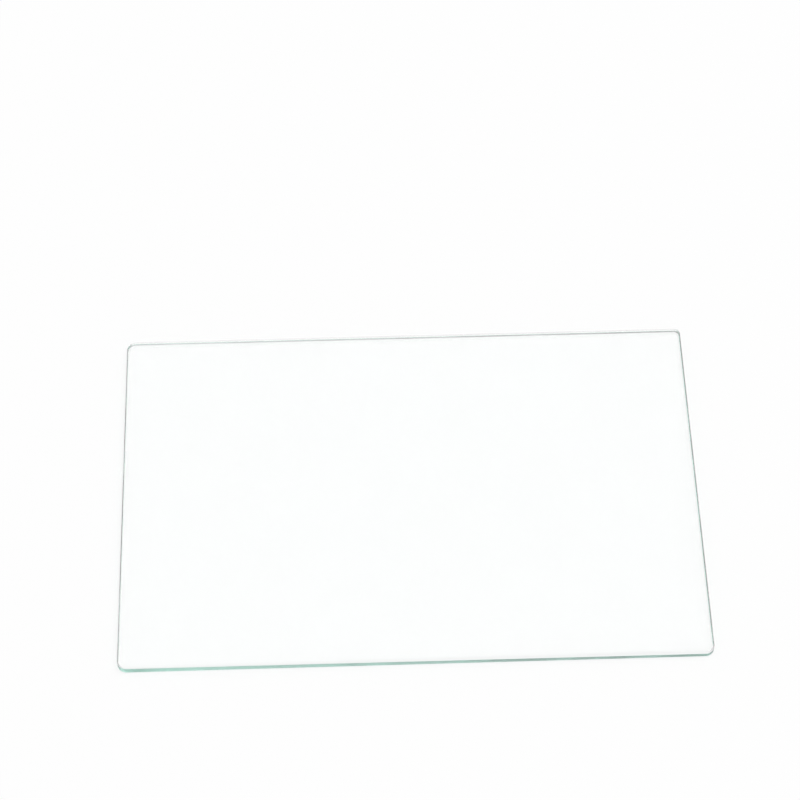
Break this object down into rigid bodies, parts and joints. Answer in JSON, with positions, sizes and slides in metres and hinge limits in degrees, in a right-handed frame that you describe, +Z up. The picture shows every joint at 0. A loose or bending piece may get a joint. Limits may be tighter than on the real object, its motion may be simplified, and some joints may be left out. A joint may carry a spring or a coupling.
{
  "type": "microscope slide",
  "caption": "Plain rectangular pane of clear glass with rounded corners and ground edges, lying flat, that carries a specimen under a microscope.",
  "frame": {"origin": "centre of the lower face, the one that the slide lies on", "axes": "+Z up out of the upper face, +X along the length, +Y along the width, away from the viewer"},
  "size_m": [0.075, 0.05, 0.0011],
  "materials": {
    "glass": "clear polished faces, a pale green rim and fine grey ground bevels"
  },
  "bodies": {
    "root": {"glass_pane": "glass"}
  },
  "joints": []
}
